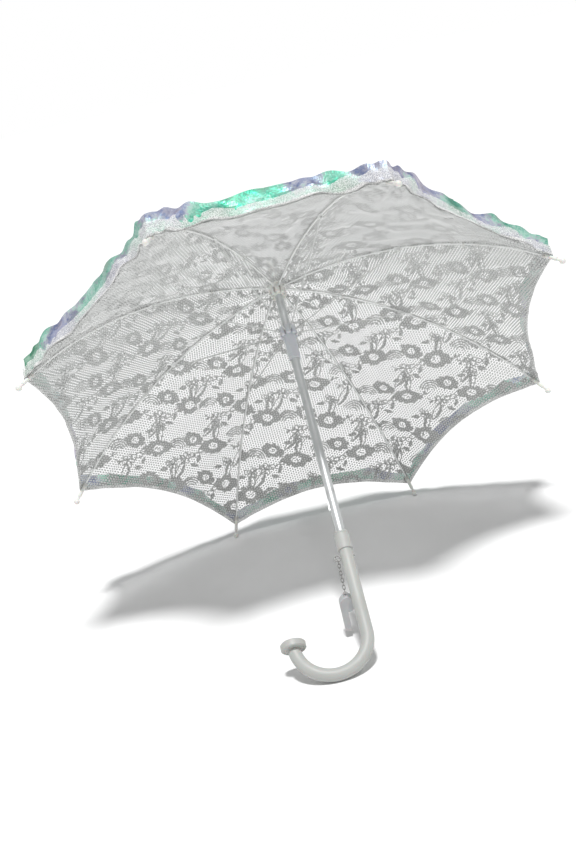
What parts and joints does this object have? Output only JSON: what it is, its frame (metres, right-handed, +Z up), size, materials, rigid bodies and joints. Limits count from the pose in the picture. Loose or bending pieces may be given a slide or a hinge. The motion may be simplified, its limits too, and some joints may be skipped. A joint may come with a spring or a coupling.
{
  "type": "lace parasol",
  "caption": "Open folding parasol: floral lace canopy with a hem frill of iridescent film, wire ribs, sliding runner, white crook handle with a chained whistle.",
  "frame": {"origin": "middle of the footprint box on the floor, under the open parasol lying on two rib tips and the bend of its crook", "axes": "+Z up; the shaft lies in the YZ plane and rises towards +Y, where the ferrule is; the crook bends towards -X"},
  "size_m": [0.6168, 0.5044, 0.4922],
  "materials": {
    "shaft_metal": "glossy white enamel on steel tube",
    "white_plastic": "moulded white, satin",
    "runner_plastic": "moulded bluish white, satin",
    "handle_plastic": "moulded off-white, soft gloss",
    "wire_steel": "bright drawn wire",
    "dark_metal": "dull dark plated",
    "lace": "white nylon lace, floral on net ground",
    "iridescent_film": "crinkled iridescent film, green to violet",
    "whistle_plastic": "moulded light grey, glossy",
    "cork": "turned cork"
  },
  "bodies": {
    "pole": {"shaft": "shaft_metal", "crown": "white_plastic", "crown_ring": "wire_steel", "canopy_centre": "lace", "top_cap": "white_plastic", "ferrule": "white_plastic", "handle": "handle_plastic", "handle_disc": "handle_plastic", "screw_eye": "dark_metal"},
    "runner": {"runner": "runner_plastic"},
    "top_catch": {"top_catch": "wire_steel"},
    "bottom_catch": {"bottom_catch": "wire_steel"},
    "chain": {"chain": "dark_metal"},
    "whistle": {"whistle": "whistle_plastic", "whistle_pea": "cork"},
    "rib_1": {"rib_1": "wire_steel", "rib_tip_1": "white_plastic", "canopy_1": "lace", "frill_1": "iridescent_film"},
    "rib_2": {"rib_2": "wire_steel", "rib_tip_2": "white_plastic", "canopy_2": "lace", "frill_2": "iridescent_film"},
    "rib_3": {"rib_3": "wire_steel", "rib_tip_3": "white_plastic", "canopy_3": "lace", "frill_3": "iridescent_film"},
    "rib_4": {"rib_4": "wire_steel", "rib_tip_4": "white_plastic", "canopy_4": "lace", "frill_4": "iridescent_film"},
    "rib_5": {"rib_5": "wire_steel", "rib_tip_5": "white_plastic", "canopy_5": "lace", "frill_5": "iridescent_film"},
    "rib_6": {"rib_6": "wire_steel", "rib_tip_6": "white_plastic", "canopy_6": "lace", "frill_6": "iridescent_film"},
    "rib_7": {"rib_7": "wire_steel", "rib_tip_7": "white_plastic", "canopy_7": "lace", "frill_7": "iridescent_film"},
    "rib_8": {"rib_8": "wire_steel", "rib_tip_8": "white_plastic", "canopy_8": "lace", "frill_8": "iridescent_film"},
    "stretcher_1": {"stretcher_1": "wire_steel"},
    "stretcher_2": {"stretcher_2": "wire_steel"},
    "stretcher_3": {"stretcher_3": "wire_steel"},
    "stretcher_4": {"stretcher_4": "wire_steel"},
    "stretcher_5": {"stretcher_5": "wire_steel"},
    "stretcher_6": {"stretcher_6": "wire_steel"},
    "stretcher_7": {"stretcher_7": "wire_steel"},
    "stretcher_8": {"stretcher_8": "wire_steel"}
  },
  "joints": [
    {"name": "runner_slide", "type": "slide", "parent": "pole", "child": "runner", "axis": [0, -0.7626, -0.6469], "range_m": [0, 0.23133]},
    {"name": "rib_1_hinge", "type": "hinge", "parent": "pole", "child": "rib_1", "pos_m": [-0.00831, 0.1425, 0.34019], "axis": [0.3827, -0.5976, 0.7045], "range_deg": [0, 63.37], "deforming": ["canopy_1", "frill_1"]},
    {"name": "rib_2_hinge", "type": "hinge", "parent": "pole", "child": "rib_2", "pos_m": [-0.00831, 0.14695, 0.33493], "axis": [-0.3827, -0.5976, 0.7045], "range_deg": [0, 63.37], "deforming": ["canopy_2", "frill_2"]},
    {"name": "rib_3_hinge", "type": "hinge", "parent": "pole", "child": "rib_3", "pos_m": [-0.00344, 0.1501, 0.33122], "axis": [-0.9239, -0.2476, 0.2918], "range_deg": [0, 63.37], "deforming": ["canopy_3", "frill_3"]},
    {"name": "rib_4_hinge", "type": "hinge", "parent": "pole", "child": "rib_4", "pos_m": [0.00344, 0.1501, 0.33122], "axis": [-0.9239, 0.2476, -0.2918], "range_deg": [0, 63.37], "deforming": ["canopy_4", "frill_4"]},
    {"name": "rib_5_hinge", "type": "hinge", "parent": "pole", "child": "rib_5", "pos_m": [0.00831, 0.14695, 0.33493], "axis": [-0.3827, 0.5976, -0.7045], "range_deg": [0, 63.37], "deforming": ["canopy_5", "frill_5"]},
    {"name": "rib_6_hinge", "type": "hinge", "parent": "pole", "child": "rib_6", "pos_m": [0.00831, 0.1425, 0.34019], "axis": [0.3827, 0.5976, -0.7045], "range_deg": [0, 63.37], "deforming": ["canopy_6", "frill_6"]},
    {"name": "rib_7_hinge", "type": "hinge", "parent": "pole", "child": "rib_7", "pos_m": [0.00344, 0.13935, 0.3439], "axis": [0.9239, 0.2476, -0.2918], "range_deg": [0, 63.37], "deforming": ["canopy_7", "frill_7"]},
    {"name": "rib_8_hinge", "type": "hinge", "parent": "pole", "child": "rib_8", "pos_m": [-0.00344, 0.13935, 0.3439], "axis": [0.9239, -0.2476, 0.2918], "range_deg": [0, 63.37], "deforming": ["canopy_8", "frill_8"]},
    {"name": "stretcher_1_hinge", "type": "hinge", "parent": "rib_1", "child": "stretcher_1", "pos_m": [-0.14782, 0.07843, 0.36161], "axis": [-0.3827, 0.5976, -0.7045], "range_deg": [0, 126.74]},
    {"name": "stretcher_2_hinge", "type": "hinge", "parent": "rib_2", "child": "stretcher_2", "pos_m": [-0.14782, 0.15764, 0.26822], "axis": [0.3827, 0.5976, -0.7045], "range_deg": [0, 126.74]},
    {"name": "stretcher_3_hinge", "type": "hinge", "parent": "rib_3", "child": "stretcher_3", "pos_m": [-0.06123, 0.21366, 0.20219], "axis": [0.9239, 0.2476, -0.2918], "range_deg": [0, 126.74]},
    {"name": "stretcher_4_hinge", "type": "hinge", "parent": "rib_4", "child": "stretcher_4", "pos_m": [0.06123, 0.21366, 0.20219], "axis": [0.9239, -0.2476, 0.2918], "range_deg": [0, 126.74]},
    {"name": "stretcher_5_hinge", "type": "hinge", "parent": "rib_5", "child": "stretcher_5", "pos_m": [0.14782, 0.15764, 0.26822], "axis": [0.3827, -0.5976, 0.7045], "range_deg": [0, 126.74]},
    {"name": "stretcher_6_hinge", "type": "hinge", "parent": "rib_6", "child": "stretcher_6", "pos_m": [0.14782, 0.07843, 0.36161], "axis": [-0.3827, -0.5976, 0.7045], "range_deg": [0, 126.74]},
    {"name": "stretcher_7_hinge", "type": "hinge", "parent": "rib_7", "child": "stretcher_7", "pos_m": [0.06123, 0.02241, 0.42764], "axis": [-0.9239, -0.2476, 0.2918], "range_deg": [0, 126.74]},
    {"name": "stretcher_8_hinge", "type": "hinge", "parent": "rib_8", "child": "stretcher_8", "pos_m": [-0.06123, 0.02241, 0.42764], "axis": [-0.9239, 0.2476, -0.2918], "range_deg": [0, 126.74]},
    {"name": "top_catch_press", "type": "slide", "parent": "pole", "child": "top_catch", "axis": [1, 0, 0], "range_m": [0, 0.0016], "stiffness_N_per_m": 1500},
    {"name": "bottom_catch_press", "type": "slide", "parent": "pole", "child": "bottom_catch", "axis": [1, 0, 0], "range_m": [0, 0.0016], "stiffness_N_per_m": 1500},
    {"name": "chain_swing", "type": "hinge", "parent": "pole", "child": "chain", "pos_m": [-0.0108, -0.14979, 0.08773], "axis": [1, 0, 0], "range_deg": [-20, 40]},
    {"name": "whistle_swing", "type": "hinge", "parent": "chain", "child": "whistle", "pos_m": [-0.0108, -0.14979, 0.05117], "axis": [0, 1, 0], "range_deg": [-30, 30]}
  ],
  "couplings": [
    {"joint": "rib_1_hinge", "follows": "runner_slide", "rad_per_m": 4.7804},
    {"joint": "rib_2_hinge", "follows": "runner_slide", "rad_per_m": 4.7804},
    {"joint": "rib_3_hinge", "follows": "runner_slide", "rad_per_m": 4.7804},
    {"joint": "rib_4_hinge", "follows": "runner_slide", "rad_per_m": 4.7804},
    {"joint": "rib_5_hinge", "follows": "runner_slide", "rad_per_m": 4.7804},
    {"joint": "rib_6_hinge", "follows": "runner_slide", "rad_per_m": 4.7804},
    {"joint": "rib_7_hinge", "follows": "runner_slide", "rad_per_m": 4.7804},
    {"joint": "rib_8_hinge", "follows": "runner_slide", "rad_per_m": 4.7804},
    {"joint": "stretcher_1_hinge", "follows": "runner_slide", "rad_per_m": 9.5608},
    {"joint": "stretcher_2_hinge", "follows": "runner_slide", "rad_per_m": 9.5608},
    {"joint": "stretcher_3_hinge", "follows": "runner_slide", "rad_per_m": 9.5608},
    {"joint": "stretcher_4_hinge", "follows": "runner_slide", "rad_per_m": 9.5608},
    {"joint": "stretcher_5_hinge", "follows": "runner_slide", "rad_per_m": 9.5608},
    {"joint": "stretcher_6_hinge", "follows": "runner_slide", "rad_per_m": 9.5608},
    {"joint": "stretcher_7_hinge", "follows": "runner_slide", "rad_per_m": 9.5608},
    {"joint": "stretcher_8_hinge", "follows": "runner_slide", "rad_per_m": 9.5608}
  ]
}
